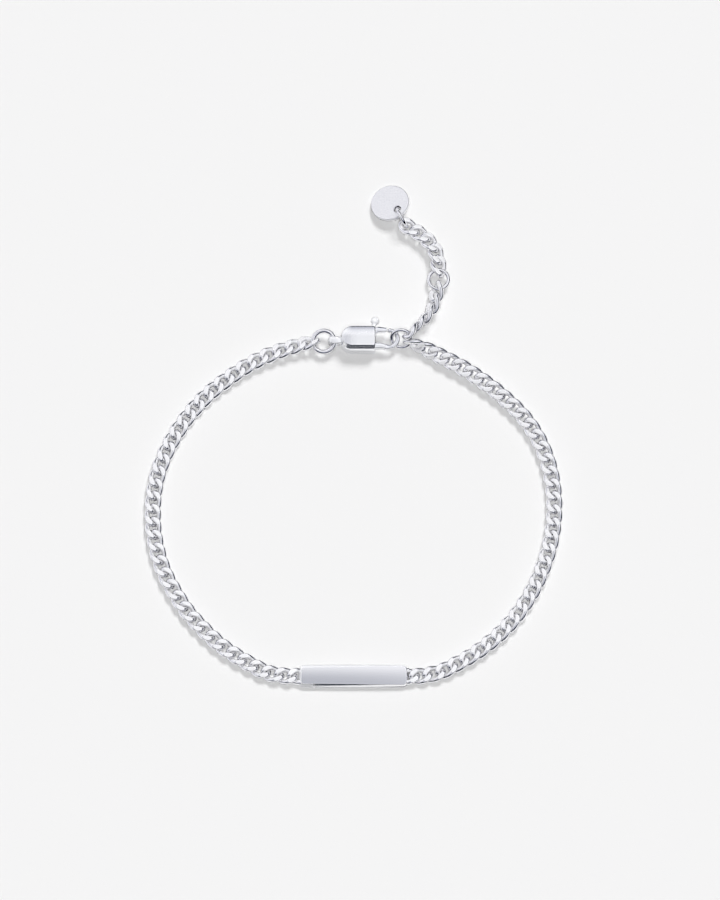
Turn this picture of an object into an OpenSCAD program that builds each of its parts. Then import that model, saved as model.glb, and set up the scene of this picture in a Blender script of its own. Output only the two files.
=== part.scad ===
// Curb chain bracelet with an identity bar, a lobster clasp, an extender chain and a round tag.
// It lies on a flat surface at z = 0. The origin is the middle of the wrist opening, on that surface.

/* [Chain] */
// Width of the curb chain across its links
chain_w = 2.5; // [2.48:0.01:2.52]
// Diameter of the chain's wire
wire_d = 0.58; // [0.54:0.01:0.58]
// Length of a link's centre line from its middle to its end
link_half = 1.36; // [1.35:0.01:1.37]
// Twist of a link between its middle and its end, in degrees
link_twist = 50; // [48:1:52]
// Squareness of a link's outline, where 2 is an ellipse
link_square = 2.3; // [2.2:0.1:2.4]
// Thickness that the chain is filed flat to
filed_t = 1.15; // [1.05:0.05:1.25]
// Links in the left chain
left_links = 37; // [36:1:38]
// Links in the right chain
right_links = 36; // [35:1:37]

/* [Identity bar] */
// Length of the bar
bar_l = 15.1; // [14.9:0.1:15.3]
// Width of the bar
bar_w = 3.05; // [2.9:0.05:3.2]
// Thickness of the bar in its middle
bar_t = 1.15; // [1.1:0.05:1.25]
// Radius of the bar's corners, seen from above
bar_corner = 0.6; // [0.4:0.1:0.8]

/* [Rings] */
// Wire diameter of the two thin rings and the tag's ring
ring_wire = 0.5; // [0.46:0.02:0.5]
// Radius of their centre line
ring_r = 1.38; // [1.36:0.01:1.4]
// Wire diameter of the clasp's ring
clasp_ring_wire = 0.66; // [0.6:0.02:0.66]
// Radius of its centre line
clasp_ring_r = 1.5; // [1.48:0.01:1.52]

/* [Clasp] */
// Width of the clasp's shell
shell_w = 3.45; // [3.4:0.05:3.5]
// Thickness of the clasp's shell
shell_t = 3.0; // [2.9:0.05:3.1]
// Wire diameter of the hook at its nose
hook_wire = 0.6; // [0.56:0.02:0.6]
// Radius of the hook's centre line
hook_r = 1.2; // [1.2:0.01:1.22]
// Diameter of the thumb nub
nub_d = 1.15; // [1.0:0.05:1.2]
// Diameter of the pivot pin
pin_d = 0.5; // [0.46:0.02:0.52]

/* [Tag] */
// Diameter of the round tag
tag_d = 5.36; // [5.2:0.04:5.44]
// Thickness of the tag
tag_t = 0.5; // [0.4:0.05:0.55]
// Diameter of the tag's hole
tag_hole_d = 1.0; // [1.0:0.02:1.1]

/* [Hidden] */
// Facets of a small circle, of a wire's cross-section and of a large one
round_fn = 48;
wire_fn = 32;
large_fn = 96;
// How far a cut goes past what it cuts
spare = 1;
silver = "gainsboro";
dark_silver = "silver";

// A link's centre line has this many corners, and its wire this many sides
link_sections = 14;
half_sections = 8;
wire_sides = 6;
wire_r = wire_d / 2;
link_side = (chain_w - wire_d) / 2;
filed_half = filed_t / 2;

// Each route is the centre line of a chain from its first link's middle to its last link's middle.
// Columns: x, y, height of the centre line, roll about the chain's own direction in degrees
left_route = [
    [-9.47, -23.37, 0.58, 0],
    [-11.28, -23.10, 0.58, 0],
    [-13.23, -22.35, 0.58, 0],
    [-17.70, -19.60, 0.58, 0],
    [-21.20, -16.40, 0.58, 0],
    [-24.05, -12.80, 0.58, 0],
    [-26.75, -7.45, 0.58, 0],
    [-27.90, -1.30, 0.58, 0],
    [-27.35, 5.10, 0.58, 0],
    [-24.85, 11.20, 0.59, 0],
    [-20.85, 16.45, 0.61, 0],
    [-15.85, 20.42, 0.77, -14.6],
    [-12.04, 22.50, 0.89, -23.5],
    [-7.85, 23.94, 1.03, -32.8],
    [-6.28, 24.32, 1.14, -35.7]];
right_route = [
    [9.23, -23.37, 0.59, 0],
    [11.07, -23.08, 0.61, 0],
    [12.99, -22.35, 0.66, -4],
    [17.40, -19.75, 0.74, -12],
    [21.60, -15.90, 0.74, -12],
    [25.00, -10.70, 0.74, -12],
    [27.20, -4.60, 0.74, -12],
    [27.80, 1.60, 0.74, -12],
    [26.80, 7.60, 0.74, -12],
    [24.30, 12.70, 0.80, -15],
    [20.40, 16.85, 0.95, -27],
    [15.90, 20.19, 1.12, -45.3],
    [11.98, 22.38, 1.19, -62.5],
    [10.15, 23.30, 1.22, -66.3],
    [8.39, 24.03, 1.22, -74.1]];
lower_route = [
    [8.04, 25.78, 1.88, -82.2],
    [9.18, 27.08, 1.36, -77.2],
    [10.44, 28.57, 1.31, -67],
    [11.16, 30.06, 1.23, -55.4],
    [11.51, 31.70, 1.15, -43.9]];
upper_route = [
    [11.76, 35.36, 1.08, 24.4],
    [11.37, 37.27, 0.97, 26],
    [10.60, 38.66, 0.97, 23.7],
    [9.43, 39.83, 0.98, 20.3],
    [7.67, 40.97, 0.96, 13.4]];
lower_links = 5;
upper_links = 5;

// Points worked out between two rows of a route
route_steps = 24;

function position(row) = [row[0], row[1], row[2]];

// A smooth curve through four neighbouring rows, between the second and the third
function through(p, q, r, s, u) =
    0.5 * (2 * q + (r - p) * u + (2 * p - 5 * q + 4 * r - s) * u * u + (3 * q - p - 3 * r + s) * u * u * u);

function before(rows, i) = i > 0 ? rows[i - 1] : 2 * rows[0] - rows[1];

function after(rows, i) = i < len(rows) - 2 ? rows[i + 2] : 2 * rows[i + 1] - rows[i];

function smooth(rows) = concat(
    [for (i = [0 : len(rows) - 2], k = [0 : route_steps - 1])
        through(before(rows, i), rows[i], rows[i + 1], after(rows, i), k / route_steps)],
    [rows[len(rows) - 1]]);

// Length along a smooth route up to each of its points
function lengths(points) =
    [for (i = 0, run = 0; i < len(points);
        run = run + (i + 1 < len(points) ? norm(position(points[i + 1]) - position(points[i])) : 0), i = i + 1) run];

// One column of a smooth route as a table from length to value
function column(points, runs, c) = [for (i = [0 : len(points) - 1]) [runs[i], points[i][c]]];

function signed_power(v, e) = sign(v) * pow(abs(v), e);

// The surface that a link lies in turns about the link's own length, by this angle at x
function twist_at(x) = -link_twist * x / link_half;

// Centre line of a link's wire at angle t round the link
function link_point(t) =
    let (x = link_half * signed_power(cos(t), 2 / link_square),
        y = link_side * signed_power(sin(t), 2 / link_square))
    [x, y * cos(twist_at(x)), y * sin(twist_at(x))];

function unit(v) = v / norm(v);

// The wire's cross-section at angle t, filed flat above and below
function wire_section(t) =
    let (centre = link_point(t),
        along = unit(link_point(t + 2) - link_point(t - 2)),
        lean = twist_at(centre[0]),
        flat_up = [0, -sin(lean), cos(lean)],
        up = unit(flat_up - along * (flat_up * along)),
        out = cross(along, up))
    [for (k = [0 : wire_sides - 1])
        let (turn = 360 * (k + 0.5) / wire_sides,
            p = centre + wire_r * (cos(turn) * out + sin(turn) * up))
        [p[0], p[1], max(-filed_half, min(filed_half, p[2]))]];

// Triangles between neighbouring sections, where the last one may join the first
function wall(count, closed) =
    [for (i = [0 : closed ? count - 1 : count - 2], k = [0 : wire_sides - 1])
        let (a = i * wire_sides, b = ((i + 1) % count) * wire_sides, n = (k + 1) % wire_sides)
        each [[a + k, a + n, b + n], [a + k, b + n, b + k]]];

// One whole link, lying along x
module link() {
    sections = [for (i = [0 : link_sections - 1]) wire_section(360 * i / link_sections)];
    points = [for (s = sections) each s];
    polyhedron(points, wall(link_sections, true));
}

// Half a link, soldered to what its open side enters
module half_link(inset) {
    bend = [for (i = [0 : half_sections - 1]) wire_section(-90 + 180 * i / (half_sections - 1))];
    start = [for (p = bend[0]) p - [inset, 0, 0]];
    end = [for (p = bend[half_sections - 1]) p - [inset, 0, 0]];
    sections = concat([start], bend, [end]);
    points = [for (s = sections) each s];
    count = half_sections + 2;
    last = (count - 1) * wire_sides;
    caps = [[for (k = [wire_sides - 1 : -1 : 0]) k], [for (k = [0 : wire_sides - 1]) last + k]];
    polyhedron(points, concat(wall(count, false), caps));
}

// Links spaced evenly along a route, each turned to the route's direction and roll
module chain(rows, links) {
    points = smooth(rows);
    runs = lengths(points);
    total = runs[len(runs) - 1];
    table = [for (c = [0 : 3]) column(points, runs, c)];
    reach = wire_d;
    for (i = [0 : links - 1]) {
        run = total * i / (links - 1);
        here = [for (c = [0 : 3]) lookup(run, table[c])];
        step = [for (c = [0 : 2]) lookup(run + reach, table[c]) - lookup(run - reach, table[c])];
        yaw = atan2(step[1], step[0]);
        pitch = -atan2(step[2], norm([step[0], step[1]]));
        translate(position(here)) rotate([here[3], pitch, yaw]) link();
    }
}

module ring(r, wire) {
    rotate_extrude($fn = round_fn) translate([r, 0]) circle(d = wire, $fn = wire_fn);
}

// Identity bar
bar_place = [-0.1, -23.42, 0];
bar_crown_r = 12;
bar_bevel = 0.22;
bar_solder = 0.4;
bar_eye_in = 0.05;

module bar_plan() {
    long = bar_l / 2 - bar_corner;
    wide = bar_w / 2 - bar_corner;
    square([bar_l, 2 * wide], center = true);
    square([2 * long, bar_w], center = true);
    for (x = [-long, long], y = [-wide, wide]) translate([x, y]) circle(bar_corner, $fn = round_fn);
}

// Cross-section of the bar: flat below, bevelled long edges
module bar_section() {
    w = bar_w / 2;
    polygon([[-w, bar_bevel / 2], [-w + bar_bevel / 2, 0], [w - bar_bevel / 2, 0], [w, bar_bevel / 2],
        [w, bar_t - 2 * bar_bevel], [w - bar_bevel, bar_t], [-w + bar_bevel, bar_t],
        [-w, bar_t - 2 * bar_bevel]]);
}

module id_bar() {
    color(silver) translate(bar_place) {
        intersection() {
            linear_extrude(bar_t) bar_plan();
            rotate([90, 0, 90]) linear_extrude(bar_l + spare, center = true) bar_section();
            translate([0, 0, bar_t - bar_crown_r])
                rotate([0, 90, 0]) cylinder(r = bar_crown_r, h = bar_l + spare, center = true, $fn = large_fn);
        }
        for (turn = [0, 180])
            rotate([0, 0, turn]) translate([bar_l / 2 - bar_eye_in, 0, filed_half]) half_link(bar_solder);
    }
}

module chain_left() {
    color(silver) chain(left_route, left_links);
}

module chain_right() {
    color(silver) chain(right_route, right_links);
}

module extender_lower() {
    color(silver) chain(lower_route, lower_links);
}

module extender_upper() {
    color(silver) chain(upper_route, upper_links);
}

// Place and turn of each ring
extender_ring_place = [11.75, 33.45, 1.11];
extender_ring_turn = [-1, -5, 0];
end_ring_place = [6.57, 24.80, 1.58];
end_ring_turn = [45.3, -4.3, 0];
clasp_ring_place = [-4.24, 24.46, 1.345];
clasp_ring_turn = [6, -6, 0];
tag_ring_place = [6.68, 42.21, 1.69];
tag_ring_turn = [100.6, 0, -63];

module extender_ring() {
    color(silver) translate(extender_ring_place) rotate(extender_ring_turn) ring(ring_r, ring_wire);
}

module end_ring() {
    color(silver) translate(end_ring_place) rotate(end_ring_turn) ring(ring_r, ring_wire);
}

module clasp_ring() {
    color(silver) translate(clasp_ring_place) rotate(clasp_ring_turn)
        ring(clasp_ring_r, clasp_ring_wire);
}

module tag_ring() {
    color(silver) translate(tag_ring_place) rotate(tag_ring_turn) ring(ring_r, ring_wire);
}

// Clasp. The shell is a round end with a straight part, both of one bevelled profile.
shell_mid_y = 24.62;
shell_round_x = -0.25;
shell_end_x = 2.95;
shell_mid_z = shell_t / 2;
shell_top_bevel = 0.45;
shell_low_bevel = 0.35;
// Eye at the clasp's tail, with the neck that carries it
eye_x = -2.75;
eye_y = 24.46;
eye_r = 0.88;
eye_hole_r = 0.54;
eye_w = 0.85;
eye_neck_l = 1.6;
eye_neck_h = 1.4;
// Hook: a tapered arm that leaves the shell, and the bend round to the nose
hook_x = 4.85;
hook_y = 24.78;
hook_tip_turn = 80;
arm_base_r = 0.6;
arm_root = 0.6;
arm_end_x = 4.5;
// Room for the lever, with its pivot
pivot = [2.3, 25.5];
hub_r = 0.55;
hub_gap = 0.12;
lever_t = 0.8;
slot_t = lever_t + 2 * hub_gap;
slot_out = 2;
slot_left = 0.3;
pin_play = 0.04;
pin_top = 2.5;

module shell_profile() {
    r = shell_w / 2;
    polygon([[0, 0], [r - shell_low_bevel, 0], [r, shell_low_bevel], [r, shell_t - shell_top_bevel],
        [r - shell_top_bevel, shell_t], [0, shell_t]]);
}

module shell() {
    translate([shell_round_x, shell_mid_y, 0]) {
        rotate_extrude($fn = large_fn) shell_profile();
        rotate([90, 0, 90]) linear_extrude(shell_end_x - shell_round_x) {
            shell_profile();
            mirror([1, 0]) shell_profile();
        }
    }
}

// The eye stands on its edge, so its hole runs across the clasp
module eye() {
    translate([eye_x, eye_y, shell_mid_z]) {
        rotate([90, 0, 0]) cylinder(r = eye_r, h = eye_w, center = true, $fn = round_fn);
        translate([0, -eye_w / 2, -eye_neck_h / 2]) cube([eye_neck_l, eye_w, eye_neck_h]);
    }
}

module hook() {
    arm_y = hook_y - hook_r;
    root_x = shell_end_x - arm_root;
    translate([root_x, arm_y, shell_mid_z]) rotate([0, 90, 0])
        cylinder(r1 = arm_base_r, r2 = hook_wire / 2, h = arm_end_x - root_x, $fn = round_fn);
    translate([arm_end_x, arm_y, shell_mid_z]) rotate([0, 90, 0])
        cylinder(d = hook_wire, h = hook_x - arm_end_x, $fn = round_fn);
    translate([hook_x, hook_y, shell_mid_z]) {
        rotate([0, 0, -90]) rotate_extrude(angle = 90 + hook_tip_turn, $fn = large_fn)
            translate([hook_r, 0]) circle(d = hook_wire, $fn = wire_fn);
        rotate([0, 0, hook_tip_turn]) translate([hook_r, 0, 0]) sphere(d = hook_wire, $fn = wire_fn);
    }
}

// Room for the lever inside the shell, open to the hook and to the thumb nub
module lever_slot() {
    reach = hub_r + hub_gap;
    translate([pivot[0], pivot[1], shell_mid_z]) {
        cylinder(r = reach, h = slot_t, center = true, $fn = round_fn);
        translate([0, -reach, -slot_t / 2]) cube([slot_out, reach + slot_out, slot_t]);
        translate([-slot_left, 0, -slot_t / 2]) cube([slot_out, slot_out, slot_t]);
    }
}

module clasp_body() {
    color(silver) difference() {
        union() {
            shell();
            eye();
            hook();
        }
        lever_slot();
        translate([eye_x, eye_y, shell_mid_z]) rotate([90, 0, 0])
            cylinder(r = eye_hole_r, h = eye_w + spare, center = true, $fn = round_fn);
        translate([pivot[0], pivot[1], -spare]) cylinder(d = pin_d, h = pin_top + spare, $fn = round_fn);
    }
}

module clasp_pin() {
    color(dark_silver) translate([pivot[0], pivot[1], 0]) cylinder(d = pin_d, h = pin_top, $fn = round_fn);
}

// Lever: hub round the pin, arm to the nose, neck and thumb nub, drawn from the pivot
arm_near = 0.12;
arm_far = 0.68;
arm_tip = 2.3;
tip_slant = 0.1;
// The arm's inner edge leaves the hub this many degrees round from straight down
hub_lean = 28;
arm_start = 0.7;
neck_w = 0.5;
neck_foot = [0.1, 0.55];
nub_place = [0.6, 1.82];

module lever_plan() {
    circle(hub_r, $fn = round_fn);
    low = hub_r * [sin(hub_lean), -cos(hub_lean)];
    polygon([[0, 0], low, [arm_tip, arm_near], [arm_tip - tip_slant, arm_far - tip_slant],
        [arm_start, arm_far], [0, hub_r]]);
    polygon([[0, 0], [neck_foot[1], 0], [nub_place[0] + neck_w / 2, nub_place[1]],
        [nub_place[0] - neck_w / 2, nub_place[1]], [neck_foot[0], hub_r]]);
}

module clasp_lever() {
    color(silver) translate([pivot[0], pivot[1], shell_mid_z]) difference() {
        union() {
            linear_extrude(lever_t, center = true) lever_plan();
            translate([nub_place[0], nub_place[1], 0]) sphere(d = nub_d, $fn = wire_fn);
        }
        cylinder(r = pin_d / 2 + pin_play, h = lever_t + spare, center = true, $fn = round_fn);
    }
}

// Tag: a plain disc that leans on its ring, with its hole towards the raised edge
tag_place = [5.06, 44.43, 0.83];
tag_lean = 17.5;
tag_turn = -45;
tag_hole_out = 1.6;
tag_edge = 0.08;

module tag_disc() {
    r = tag_d / 2;
    color(silver) translate(tag_place) rotate([0, 0, tag_turn]) rotate([0, -tag_lean, 0]) difference() {
        rotate_extrude($fn = large_fn) polygon([[0, 0], [r - tag_edge, 0], [r, tag_edge], [r, tag_t - tag_edge],
            [r - tag_edge, tag_t], [0, tag_t]]);
        translate([tag_hole_out, 0, -spare]) cylinder(d = tag_hole_d, h = tag_t + 2 * spare, $fn = round_fn);
    }
}

id_bar();
chain_left();
chain_right();
extender_lower();
extender_ring();
extender_upper();
end_ring();
clasp_ring();
clasp_body();
clasp_pin();
clasp_lever();
tag_ring();
tag_disc();
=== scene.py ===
# Curb chain bracelet with an identity bar, lobster clasp, extender and round tag.
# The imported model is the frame; the pieces below are its polished silver, worked out in millimetres.
import math
import bpy
import numpy as np
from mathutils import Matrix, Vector


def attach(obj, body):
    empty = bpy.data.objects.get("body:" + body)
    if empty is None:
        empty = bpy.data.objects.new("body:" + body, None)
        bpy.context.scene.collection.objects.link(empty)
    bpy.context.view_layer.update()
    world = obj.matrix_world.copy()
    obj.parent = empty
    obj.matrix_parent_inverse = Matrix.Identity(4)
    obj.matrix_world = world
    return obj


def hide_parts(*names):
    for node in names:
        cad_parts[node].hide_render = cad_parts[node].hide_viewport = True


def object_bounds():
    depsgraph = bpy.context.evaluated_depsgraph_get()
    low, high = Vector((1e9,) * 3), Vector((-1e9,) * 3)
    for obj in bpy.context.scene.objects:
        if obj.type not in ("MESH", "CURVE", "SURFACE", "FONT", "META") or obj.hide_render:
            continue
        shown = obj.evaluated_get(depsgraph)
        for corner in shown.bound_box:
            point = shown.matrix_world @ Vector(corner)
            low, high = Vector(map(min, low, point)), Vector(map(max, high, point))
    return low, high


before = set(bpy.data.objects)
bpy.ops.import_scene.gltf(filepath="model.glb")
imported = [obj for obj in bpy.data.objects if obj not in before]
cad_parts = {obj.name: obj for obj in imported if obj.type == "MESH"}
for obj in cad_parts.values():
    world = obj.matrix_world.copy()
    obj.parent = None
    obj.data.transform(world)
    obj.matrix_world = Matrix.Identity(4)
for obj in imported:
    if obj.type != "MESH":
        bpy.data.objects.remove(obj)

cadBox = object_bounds()
mm = 0.001
tau = 2 * math.pi
print("frame loaded:", len(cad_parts), "nodes")


# Mesh helpers

def quadRows(count, rings, closed=True):
    # faces of a (rings x count) grid of points, as four columns of point numbers
    uu, vv = np.meshgrid(np.arange(rings if closed else rings - 1), np.arange(count), indexing="ij")
    un, vn = (uu + 1) % rings, (vv + 1) % count
    return np.stack([uu * count + vv, un * count + vv, un * count + vn, uu * count + vn], -1).reshape(-1, 4)


def gridSurface(points, closed=True, flip=False):
    # points is (rings, count, 3); the last ring joins the first, or else a fan to its middle closes each end ring
    rings, count = points.shape[:2]
    verts = points.reshape(-1, 3)
    quads = quadRows(count, rings, closed)
    tris = np.zeros((0, 3), int)
    if not closed:
        a = np.arange(count)
        b = (a + 1) % count
        last = (rings - 1) * count
        middle = np.full(count, len(verts))
        tris = np.vstack([np.stack([b, a, middle], -1), np.stack([a + last, b + last, middle + 1], -1)])
        verts = np.vstack([verts, verts[:count].mean(0), verts[last:].mean(0)])
    if flip:
        quads, tris = quads[:, ::-1], tris[:, ::-1]
    return verts, quads, tris


def joinSurfaces(parts):
    # several surfaces become one, each one's point numbers moved on by the points before it
    starts = np.cumsum([0] + [len(p[0]) for p in parts[:-1]])
    return (np.vstack([p[0] for p in parts]),
            np.vstack([p[1] + s for p, s in zip(parts, starts)]),
            np.vstack([p[2] + s for p, s in zip(parts, starts)]))


def addObject(name, data):
    # a new object at the origin, in the scene
    obj = bpy.data.objects.new(name, data)
    bpy.context.scene.collection.objects.link(obj)
    return obj


def makePiece(name, surface, material, body, nodes=(), sharp=None, masks=None):
    # points in millimetres go into a mesh in metres; quads first, then triangles; masks hold a number for each point
    verts, quads, tris = surface
    mesh = bpy.data.meshes.new(name)
    mesh.vertices.add(len(verts))
    mesh.vertices.foreach_set("co", (verts * mm).astype(np.float32).ravel())
    corners = np.concatenate([quads.ravel(), tris.ravel()]).astype(np.int32)
    sizes = np.concatenate([np.full(len(quads), 4), np.full(len(tris), 3)])
    mesh.loops.add(len(corners))
    mesh.loops.foreach_set("vertex_index", corners)
    mesh.polygons.add(len(sizes))
    mesh.polygons.foreach_set("loop_start", np.concatenate([[0], np.cumsum(sizes)[:-1]]).astype(np.int32))
    for label, values in (masks or {}).items():
        mesh.attributes.new(label, "FLOAT", "POINT").data.foreach_set("value", values.astype(np.float32))
    mesh.update(calc_edges=True)
    mesh.validate()
    mesh.shade_smooth()
    if sharp:
        mesh.set_sharp_from_angle(angle=math.radians(sharp))
    piece = addObject(name, mesh)
    mesh.materials.append(material)
    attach(piece, body)
    if nodes:
        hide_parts(*nodes)
    return piece


def unitRows(v):
    # each row divided by its length
    return v / np.linalg.norm(v, axis=-1, keepdims=True)


def ramp(value, start, end):
    # 0 at start, 1 at end, straight between them and level beyond
    return np.clip((value - start) / (end - start), 0, 1)


def signedPower(value, square):
    # the power 2 / square with the sign kept, which squares off a circle into a superellipse
    return np.sign(value) * np.abs(value) ** (2 / square)


def turnMatrices(roll, pitch, yaw):
    # one 3 x 3 matrix a row: roll about x, then pitch about y, then yaw about z, all in degrees
    r, p, w = (np.radians(np.atleast_1d(np.asarray(k, float))) for k in (roll, pitch, yaw))
    cr, sr, cp, sp, cw, sw = np.cos(r), np.sin(r), np.cos(p), np.sin(p), np.cos(w), np.sin(w)
    return np.stack([
        np.stack([cw * cp, cw * sp * sr - sw * cr, cw * sp * cr + sw * sr], -1),
        np.stack([sw * cp, sw * sp * sr + cw * cr, sw * sp * cr - cw * sr], -1),
        np.stack([-sp, cp * sr, cp * cr], -1)], -2)


def placed(points, at, turn=(0, 0, 0)):
    # points turned by three angles, then moved
    return points @ turnMatrices(*turn)[0].T + np.asarray(at, float)


def placedSurface(surface, at, turn=(0, 0, 0)):
    # a surface whose points are turned and moved, with the same faces
    return (placed(surface[0], at, turn),) + surface[1:]


# Camera: a long lens, 15 degrees off straight down

camera = {
    "elevation": 75,
    "distance": 3000,
    "aim": (0.81, 9.04, 0.55),
    "frameWidth": 100,
    "sensor": 36,
    "clip": (0.01, 20),
}


def makeCamera(c):
    # stands back from its aim along a line lifted by the elevation; the lens makes the frame its width at the aim
    lift = math.radians(c["elevation"])
    back = Vector((0, -math.cos(lift), math.sin(lift)))
    data = bpy.data.cameras.new("camera")
    data.sensor_fit = "HORIZONTAL"
    data.sensor_width = c["sensor"]
    data.lens = c["sensor"] * c["distance"] / c["frameWidth"]
    data.clip_start, data.clip_end = c["clip"]
    obj = addObject("camera", data)
    obj.location = (Vector(c["aim"]) + back * c["distance"]) * mm
    obj.rotation_euler = (math.radians(90 - c["elevation"]), 0, 0)
    bpy.context.scene.camera = obj


makeCamera(camera)


# Materials

def newGroup(name, inputs, outputs):
    # an empty shader group with its named sockets, and the two nodes they show up on
    group = bpy.data.node_groups.new(name, "ShaderNodeTree")
    for label, kind, value in inputs:
        socket = group.interface.new_socket(label, in_out="INPUT", socket_type=kind)
        socket.default_value = value
    for label, kind in outputs:
        group.interface.new_socket(label, in_out="OUTPUT", socket_type=kind)
    start = group.nodes.new("NodeGroupInput")
    end = group.nodes.new("NodeGroupOutput")
    start.location, end.location = (-1000, 0), (700, 0)
    return group, start, end


def feed(tree, socket, value):
    # links one socket to another, or sets it to a value
    if isinstance(value, bpy.types.NodeSocket):
        tree.links.new(value, socket)
    elif value is not None:
        socket.default_value = value


def node(tree, kind, at=(0, 0), **values):
    # a new node; each value sets the node's own property of that name, or else feeds its input
    n = tree.nodes.new(kind)
    n.location = at
    for key, value in values.items():
        if hasattr(n, key):
            setattr(n, key, value)
        else:
            feed(tree, n.inputs[key.replace("_", " ")], value)
    return n


def maths(tree, operation, a, b, at=(0, 0)):
    # one sum of two numbers
    n = node(tree, "ShaderNodeMath", at, operation=operation)
    feed(tree, n.inputs[0], a)
    feed(tree, n.inputs[1], b)
    return n.outputs[0]


def vectors(tree, operation, a, b=None, at=(0, 0)):
    # one sum of one or two vectors, which comes to a number for a length or a dot product
    n = node(tree, "ShaderNodeVectorMath", at, operation=operation)
    feed(tree, n.inputs[0], a)
    feed(tree, n.inputs[1], b)
    return n.outputs["Value" if operation in ("LENGTH", "DOT_PRODUCT") else "Vector"]


def mixColors(tree, share, a, b, at=(0, 0), **values):
    # the colour that lies a share of the way from a to b
    n = node(tree, "ShaderNodeMix", at, data_type="RGBA", **values)
    for socket, value in ((0, share), (6, a), (7, b)):
        feed(tree, n.inputs[socket], value)
    return n.outputs[2]


def polishMarks():
    # Fine wavering of polished metal: broad tone changes, cloudy roughness, and hairlines in two directions
    group, start, end = newGroup("polishMarks", [
        ("Vector", "NodeSocketVector", (0, 0, 0)),
        ("Cloud Scale", "NodeSocketFloat", 700.0),
        ("Hairline Scale", "NodeSocketFloat", 5200.0),
        ("Base Roughness", "NodeSocketFloat", 0.1),
        ("Roughness Spread", "NodeSocketFloat", 0.08),
        ("Light Tone", "NodeSocketColor", (0.95, 0.95, 0.96, 1)),
        ("Dull Tone", "NodeSocketColor", (0.86, 0.86, 0.89, 1)),
    ], [("Color", "NodeSocketColor"), ("Roughness", "NodeSocketFloat"), ("Height", "NodeSocketFloat")])
    vector = start.outputs["Vector"]
    cloud = node(group, "ShaderNodeTexNoise", (-700, 200), Vector=vector, Scale=start.outputs["Cloud Scale"],
                 Detail=3.0, Roughness=0.55)
    hair = []
    for turn, stretch, y in ((0.5, (1.0, 0.08, 0.4), -100), (-0.9, (0.07, 1.0, 0.4), -400)):
        place = node(group, "ShaderNodeMapping", (-760, y), Vector=vector, Rotation=(0, 0, turn), Scale=stretch)
        lines = node(group, "ShaderNodeTexNoise", (-560, y), Vector=place.outputs[0],
                     Scale=start.outputs["Hairline Scale"], Detail=2.0, Roughness=0.6)
        hair.append(lines.outputs[0])
    half = maths(group, "MULTIPLY", maths(group, "ADD", *hair, (-300, -200)), 0.5, (-120, -200))
    dull = maths(group, "MULTIPLY", cloud.outputs[0], half, (60, 0))
    spread = maths(group, "MULTIPLY", dull, start.outputs["Roughness Spread"], (240, -60))
    rough = maths(group, "ADD", start.outputs["Base Roughness"], spread, (420, -60))
    tone = mixColors(group, cloud.outputs[0], start.outputs["Light Tone"], start.outputs["Dull Tone"], (420, 240))
    for label, value in (("Color", tone), ("Roughness", rough), ("Height", half)):
        feed(group, end.inputs[label], value)
    return group


polishGroup = polishMarks()


def silver(name, light, dull, rough, spread, cloud=700, bump=0.02, stretch=(1, 1, 1), metal=1, mask=None,
           maskRough=0.0, maskSatin=0.0):
    # polished silver; where the piece's mask is 1 the surface is filed: rougher by maskRough, and frosted by maskSatin
    material = bpy.data.materials.new(name)
    material.use_nodes = True
    tree = material.node_tree
    shader = tree.nodes["Principled BSDF"]
    coords = node(tree, "ShaderNodeTexCoord", (-900, 0))
    place = node(tree, "ShaderNodeMapping", (-720, 0), Vector=coords.outputs["Object"], Scale=stretch)
    marks = node(tree, "ShaderNodeGroup", (-500, 0), node_tree=polishGroup)
    for label, value in (("Vector", place.outputs[0]), ("Cloud Scale", cloud), ("Base Roughness", rough),
                         ("Roughness Spread", spread), ("Light Tone", (*light, 1)), ("Dull Tone", (*dull, 1))):
        feed(tree, marks.inputs[label], value)
    relief = node(tree, "ShaderNodeBump", (-240, -200), Strength=bump, Distance=0.0001, Height=marks.outputs["Height"])
    dullness = marks.outputs["Roughness"]
    if mask:
        filed = node(tree, "ShaderNodeAttribute", (-500, -320), attribute_name=mask).outputs["Fac"]
        more = maths(tree, "MULTIPLY", filed, maskRough, (-330, -320))
        dullness = maths(tree, "ADD", dullness, more, (-180, -120))
        frost = maths(tree, "MULTIPLY", filed, maskSatin, (-330, -480))
        metal = maths(tree, "SUBTRACT", metal, frost, (-180, -480))
    for label, value in (("Base Color", marks.outputs["Color"]), ("Metallic", metal), ("Roughness", dullness),
                         ("Specular IOR Level", 0.2), ("Normal", relief.outputs[0])):
        feed(tree, shader.inputs[label], value)
    return material


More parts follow.
